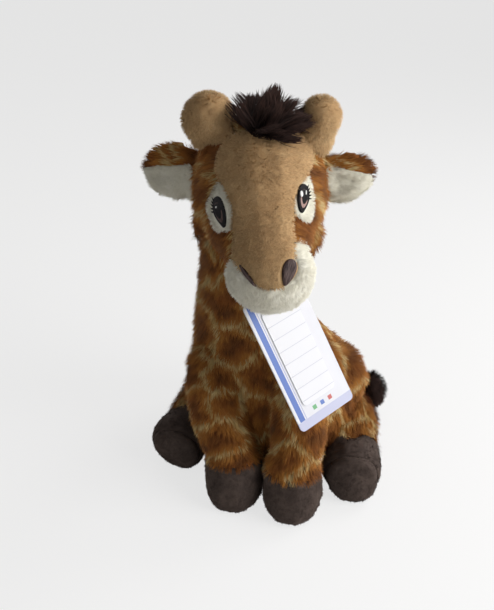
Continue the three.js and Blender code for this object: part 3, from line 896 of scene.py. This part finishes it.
def drawn(plan, names, wanted):
    # the smooth union of some parts, and the skins of one of them
    nodes = [node for name in names for node in parts[name]["nodes"]]
    inside = [node for name in names for node in parts[name]["inside"]]
    form = softForm("_".join(names), nodes + inside, plan["voxel"], plan["rounds"], plan["inset"],
                    plan.get("fillers", ()))
    widen, press = {}, {}
    for name in names:
        widen.update(parts[name].get("widen", {}))
        press.update(parts[name].get("press", {}))
    labels = nearestNode(form, nodes, widen, plan.get("claims", ()))
    groupOf = np.array([k for k, name in enumerate(names) for _ in parts[name]["nodes"]])
    filletBorders(form, groupOf[labels], plan["reach"], plan["fillet"])
    if "rimBy" in plan:
        rollRim(form, *plan["rimBy"])
    for place, reach, rounds in plan.get("ironed", ()):
        smoothNear(form, nearTo(placesOf(form), place, reach), rounds)
    depths = np.array([[press.get(node, 0)] for node in nodes], float)[labels]
    smooth = form.data.copy()
    moveIn(form.data, averaged(form.data, depths + touched(form.data, plan), 3))
    skins = cutPieces(form, nodes, labels, parts[wanted]["nodes"])
    bpy.data.meshes.remove(form.data)
    return newPiece("_".join(names), smooth), skins


def hiddenEnd(name, plan, skins):
    # the closed end of a part, inside its neighbour, that shows only when the part moves; its pile is short
    part = parts[name]
    inset = plan["inset"] + max(part["press"].values()) + hiddenPlan["inset"]
    end = softForm(f"{name}_end", part["nodes"] + part["inside"], plan["voxel"] * hiddenPlan["coarser"],
                   hiddenPlan["rounds"], inset)
    covers = [surfaceOf(skin) for skin in skins.values()]
    with opened(end.data) as work:
        gone = []
        for face in work.faces:
            middle = face.calc_center_median()
            if any(cover.find_nearest(middle)[3] < hiddenPlan["near"] * mm
                   or cover.ray_cast(middle, face.normal, hiddenPlan["under"] * mm)[0] for cover in covers):
                gone.append(face)
        bmesh.ops.delete(work, geom=gone, context="FACES")
    if end.data.polygons:
        addAttribute(end.data, "hidden", np.ones(len(end.data.polygons)), domain="FACE")
        joined(skins[part["nodes"][0]], end)
    else:
        bpy.data.meshes.remove(end.data)


def makePart(name, plan, skins, patches):
    part = parts[name]
    seed = sum(map(ord, name))
    bare = [bareOval(node) for node in part.get("bare", [])]
    for node, depth in part.get("hollow", {}).items():
        mesh = skins[node].data
        away = nearest(numbersOf(mesh.vertices, "co", 3), borderOf(mesh))[1] / mm
        moveIn(mesh, depth * smoothStep(away, 2.5, 7))
    hiddenEnd(name, plan, skins)
    for node, skin in skins.items():
        slot = slotOf[node]
        pile = pileFor(pileOf.get(node, pileOf[slot]), {"comb": part["comb"]})
        coatPatches = patches if slot == "patched_fur" else None
        skinned = furred(f"{node}_plush", skin, pile, seed + len(node), bare, patches=coatPatches)
        dress(skinned, node)
    for node in part["inside"]:
        stuffing = softForm(f"{node}_fill", [node], plan["voxel"] * fillPlan["coarser"], fillPlan["rounds"],
                            fillPlan["inset"])
        moveIn(stuffing.data, touched(stuffing.data, plan).clip(0))
        stuffing.data.shade_smooth()
        dress(stuffing, node)
    print(name, "made of", len(skins) + len(part["inside"]), "pieces")


def borderOf(mesh):
    with opened(mesh) as work:
        return [vert.co.copy() for edge in work.edges if edge.is_boundary for vert in edge.verts]


shapes = {}
skinsOf = {}
for key, plan in wholes.items():
    shapes[key], skinsOf[plan["main"]] = drawn(plan, [plan["main"], *plan["others"]], plan["main"])
    for other in plan["others"]:
        alone, skinsOf[other] = drawn(plan, [plan["main"], other], other)
        bpy.data.meshes.remove(alone.data)
    print(key, "drawn")
for key, plan in wholes.items():
    forms = [shapes[key]] if key == "top" else [shapes["body"], shapes["rear"]]
    patches = patchMiddles(forms, coat[plan["pixels"]], 7)
    for name in (plan["main"], *plan["others"]):
        makePart(name, plan, skinsOf[name], patches)

# long brushed fur: a core that is a smaller copy of the solid, with long strands standing from it
longPieces = {
    "mane": {"core": 0.8, "anchor": (-13, 27, 135), "length": 7, "comb": combAlong(0, 0.6, -1), "width": 0.6},
    "tail_tuft": {"core": 0.9, "anchor": (78, 49, 26), "shift": (-1.5, 0, -2), "length": 4.4, "width": 0.45,
        "comb": combFrom((74, 55, 40)), "density": 170, "clump": 0.3, "sway": 0.15, "tone": 0.2},
}
# the forelock is a patch of the crown with strands that part from its back and fall over the brow
forelock = {
    "share": (0.6, 0.5), "shift": (0.8, -9),  # of the solid's width and depth; mm from its middle
    "lift": 1.6,  # mm above the crown's backing
    "length": 15.5, "width": 0.6, "density": 260, "droop": 0.14, "clump": 0.88, "perClump": 50, "sway": 0.3,
    "uneven": 0.12, "lean": 0.5, "comb": combFrom((-4, -36, 262), (0.34, 0.1, 0)),
}


def makeLong(node, plan):
    core = softForm(f"{node}_core", [node], 1.8, 8)
    anchor = Matrix.Translation(Vector(plan["anchor"]) * mm)
    shift = Matrix.Translation(Vector(plan.get("shift", (0, 0, 0))) * mm)
    core.data.transform(shift @ anchor @ Matrix.Scale(plan["core"], 4) @ anchor.inverted())
    dress(furred(f"{node}_fur", core, pileFor("long", plan), sum(map(ord, node)), thickness=0), node)
    print(node, "made")


def makeForelock(head):
    low, high = (np.array(corner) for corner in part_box("forelock"))
    middle = (low + high)[:2] / 2 + np.array(forelock["shift"]) * mm
    half = (high - low)[:2] / 2 * forelock["share"]
    skin = newPiece("forelock_root", head.data.copy())
    with opened(skin.data) as work:
        gone = []
        for face in work.faces:
            away = (np.array(face.calc_center_median())[:2] - middle) / half
            if away @ away > 1 or face.normal.z < 0.2:
                gone.append(face)
        bmesh.ops.delete(work, geom=gone, context="FACES")
        keepIslands(work, len(work.faces))
    moveIn(skin.data, np.full(len(skin.data.vertices), -forelock["lift"]))
    dress(furred("forelock_fur", skin, pileFor("long", forelock), 11), "forelock")
    print("forelock made")


for node, plan in longPieces.items():
    makeLong(node, plan)
makeForelock(shapes["top"])


# embroidered eyes and nostrils

eye = {
    "height": 1.6,  # mm above the velour's backing
    "iris": {"half": (0.8, 0.84), "place": (0, 0)},  # as shares of the whole oval
    "crescent": {"half": (0.74, 0.64), "place": (0, -0.12)},
    "pupil": {"half": (0.68, 0.64), "place": (0, 0.06)},
    # painted shade: the eye on the giraffe's right, on the side of the face in shadow, takes the darker brown
    # thread for its crescent and only one small glint, where the other eye has a rose crescent and two glints
    "crescentThread": {"eye_right": "brown", "eye_left": "rose"},
    "glints": {"eye_right": (((0.17, 0.08), (-0.05, 0.4)),),
               "eye_left": (((0.25, 0.24), (-0.52, 0.16)), ((0.11, 0.2), (0.14, 0.46)))},
    "lashAngles": (18, 33, 47, 61, 74), "lashLength": 2.3, "lashWidth": 0.55,
}
nostrilHeight = 1.9


def asThread(piece, thread):
    # keeps each corner's place on the flat oval, for the thread's streaks
    addAttribute(piece.data, "stitch", placesOf(piece), "FLOAT_VECTOR")
    piece.data.materials.append(threads[thread])
    return piece


def stitchedPad(half, place, height, thread, taper=(0, 0)):
    # a raised oval of satin stitch: a disc, its edge pulled up and its top crowned by insets; taper narrows
    # its upper and lower ends
    def crown():
        bpy.ops.mesh.extrude_region_move(TRANSFORM_OT_translate={"value": (0, 0, 0.5)})
        for thickness, rise in ((0.1, 0.3), (0.2, 0.15), (0.25, 0.05), (0.2, 0)):
            bpy.ops.mesh.inset(thickness=thickness)
            bpy.ops.transform.translate(value=(0, 0, rise))
        bpy.ops.mesh.poke()
    bpy.ops.mesh.primitive_circle_add(vertices=40, radius=1, fill_type="NGON")
    pad = bpy.context.active_object
    inEditMode(pad, crown)
    for vert in pad.data.vertices:
        high, low = (1 + vert.co.y) / 2, (1 - vert.co.y) / 2
        vert.co.x *= 1 - taper[0] * high ** 2 - taper[1] * low ** 2
        vert.co.y += 0.25 * (taper[0] * high ** 3 - taper[1] * low ** 3)
    pad.data.transform(Matrix.Translation((*place, 0)) @ Matrix.Diagonal((*half, height, 1)))
    return asThread(pad, thread)


def lash(angle, half):
    # one spike of straight stitches, standing out from the oval's edge
    length = eye["lashLength"]
    bpy.ops.mesh.primitive_cone_add(vertices=8, radius1=eye["lashWidth"], radius2=0.08, depth=length)
    spike = bpy.context.active_object
    inEditMode(spike, bpy.ops.mesh.subdivide, number_cuts=2)
    across, along = math.sin(math.radians(angle)), math.cos(math.radians(angle))
    outwards = Vector((across, along * 0.8 + 0.25, 0)).normalized()
    root = Vector((across * half[0], along * half[1], eye["height"] * 0.7))
    spike.data.transform(Matrix.Translation(root + outwards * (length / 2 - 0.6))
                         @ outwards.to_track_quat("Z", "Y").to_matrix().to_4x4())
    return asThread(spike, "black")


def sewOn(node, stitched):
    # joins the stitched parts and lays them on the face along the oval's own direction
    piece = joined(*stitched)
    piece.name = f"{node}_stitched"
    middle, right, up, towards = ovalAxes(node)
    surface = surfaceOf(shapes["top"])
    for vert in piece.data.vertices:
        over = middle + (right * vert.co.x + up * vert.co.y) * mm
        hit = surface.ray_cast(over + towards * 20 * mm, -towards)[0] or over
        vert.co = hit + towards * vert.co.z * mm
    piece.data.update()
    piece.data.shade_smooth()
    seat(piece, node)


def makeEye(node, mirror):
    wide, tall = ovals[node]["half"]

    def inner(shares, place, thread, lift, taper=(0, 0)):
        return stitchedPad((wide * shares[0], tall * shares[1]), (wide * place[0], tall * place[1]),
                           eye["height"] + lift, thread, taper)
    stitched = [inner((1, 1), (0, 0), "black", 0, ovals[node]["taper"])]
    for name, thread, lift in (("iris", "brown", 0.12), ("crescent", eye["crescentThread"][node], 0.22),
                               ("pupil", "black", 0.32)):
        stitched.append(inner(eye[name]["half"], eye[name]["place"], thread, lift, ovals[node]["taper"]))
    stitched += [inner(shares, place, "white", 0.5) for shares, place in eye["glints"][node]]
    stitched += [lash(angle * mirror, (wide, tall)) for angle in eye["lashAngles"]]
    sewOn(node, stitched)


makeEye("eye_right", -1)
makeEye("eye_left", 1)
for node in ("nostril_right", "nostril_left"):
    sewOn(node, [stitchedPad(ovals[node]["half"], (0, 0), nostrilHeight, "nostril", ovals[node]["taper"])])
print("face sewn")


# swing tag

tag = {
    "middle": (29.8, -72, 134.5), "turn": (-27.8, -13.6, 40.9),  # mm; pitch, roll and yaw in degrees
    "stripe": (-20.5, -16.5), "line": (-15.6, -15.0),  # mm from the card's middle, across it
    "footer": (-46, -39.5), "squares": (-37.2, -34.2),  # mm from the card's middle, up it
    "squareStarts": ((-8, "#6fb07c"), (-1.5, "#5b77bd"), (5, "#bf5f5a")), "squareWidth": 3, "ruleSpacing": 9,
    "ruleWidth": 0.22,
}


def tagPlace(material):
    # the card's own axes: across it, into it and up it, in mm
    pitch, roll, yaw = (math.radians(angle) for angle in tag["turn"])
    turn = Matrix.Rotation(yaw, 3, "Z") @ Matrix.Rotation(pitch, 3, "X") @ Matrix.Rotation(roll, 3, "Y")
    laid = addNode(material, "Mapping", {
        "Vector": placeOf(material), "Location": Vector(tag["middle"]) * mm, "Rotation": turn.to_euler("XYZ"),
        "Scale": (mm, mm, mm)}, vector_type="TEXTURE")
    return addNode(material, "SeparateXYZ", {0: laid.outputs[0]}).outputs


def within(material, value, low, high):
    return times(material, mathOf(material, "GREATER_THAN", value, low),
                 mathOf(material, "LESS_THAN", value, high))


def tagBoard():
    # coated card: smooth and slightly glossy, printed with plain bands and three small squares
    material = newMaterial("coatedTagCard")
    across, inward, up = tagPlace(material)
    colour = mixed(material, noiseOf(material, 18), "#dcdce3", "#e6e6eb")
    for value, band, hexCode in (
            (across, "stripe", "#5b77bd"), (across, "line", "#b3b6d4"), (up, "footer", "#c3c5dd")):
        colour = mixed(material, within(material, value, *tag[band]), colour, hexCode)
    for start, hexCode in tag["squareStarts"]:
        wide = within(material, across, start, start + tag["squareWidth"])
        square = times(material, wide, within(material, up, *tag["squares"]))
        colour = mixed(material, square, colour, hexCode)
    grain = noiseOf(material, 0.5)
    return finishMaterial(material, colour, 0.42, bump=grain, bumpDepth=0.05, specular=0.4)


def stickerPaper():
    # matt self-adhesive paper with faint writing rules and nothing written on them
    material = newMaterial("mattLabelPaper")
    up = tagPlace(material)[2]
    spaced = mathOf(material, "PINGPONG", mathOf(material, "ADD", up, 100), tag["ruleSpacing"] / 2)
    colour = mixed(material, mathOf(material, "LESS_THAN", spaced, tag["ruleWidth"]), "#eeeef2", "#cfd0da")
    grain = noiseOf(material, 0.4)
    return finishMaterial(material, colour, 0.6, bump=grain, bumpDepth=0.12)


def nylon():
    # moulded nylon loop: milky and a little glossy
    material = newMaterial("mouldedNylon")
    colour = mixed(material, noiseOf(material, 3), "#dfe4e8", "#eef1f3")
    return finishMaterial(material, colour, 0.35, bump=noiseOf(material, 0.8),
                          bumpDepth=0.04, specular=0.5)


for node, material in (("tag_card", tagBoard()), ("tag_sticker", stickerPaper()), ("tag_fastener", nylon())):
    kept = frame["nodes"][node]
    kept.data.materials.clear()
    kept.data.materials.append(material)
print("tag printed")
for name, shape in shapes.items():
    bpy.data.meshes.remove(shape.data)


# stage


def makeStage():
    floor = newMaterial("paperSweep")
    shine = addNode(floor, "LightPath").outputs["Is Camera Ray"]
    matt = addNode(floor, "BsdfDiffuse", {"Color": studio["floorColour"]})
    glow = addNode(floor, "Emission", {"Color": (1, 1, 1, 1), "Strength": 1.0})
    both = addNode(floor, "MixShader", {
        0: times(floor, shine, studio["floorGlow"]), 1: matt.outputs[0], 2: glow.outputs[0]})
    addNode(floor, "OutputMaterial", {"Surface": both.outputs[0]})
    bpy.ops.mesh.primitive_plane_add(size=studio["floorSize"], location=(0, 0, 0))
    plane = bpy.context.active_object
    plane.name = "floor"
    plane.data.materials.append(floor)
    world = bpy.data.worlds.new("studioWorld")
    scene.world = world
    world.use_nodes = True
    world.node_tree.nodes.clear()
    path = addNode(world, "LightPath")
    seen = mathOf(world, "MAXIMUM", path.outputs["Is Camera Ray"], path.outputs["Is Glossy Ray"])
    seen = mathOf(world, "MAXIMUM", seen, path.outputs["Is Transmission Ray"])
    strength = mapped(world, seen, 0, 1, studio["worldLight"])
    light = addNode(world, "Background", {"Color": (1, 1, 1, 1), "Strength": strength})
    addNode(world, "OutputWorld", {"Surface": light.outputs[0]})
    for lamp in ("key", "fill", "rim"):
        data = bpy.data.lights.new(f"{lamp}Softbox", "AREA")
        data.shape = "DISK"
        data.size = studio[f"{lamp}Size"]
        data.energy = studio[f"{lamp}Power"]
        box = bpy.data.objects.new(f"{lamp}Softbox", data)
        box.location = studio[f"{lamp}Place"]
        box.rotation_euler = (Vector(studio["aim"]) - box.location).to_track_quat("-Z", "Y").to_euler()
        scene.collection.objects.link(box)


makeStage()
scene.view_settings.view_transform = "Standard"
print("stage set")
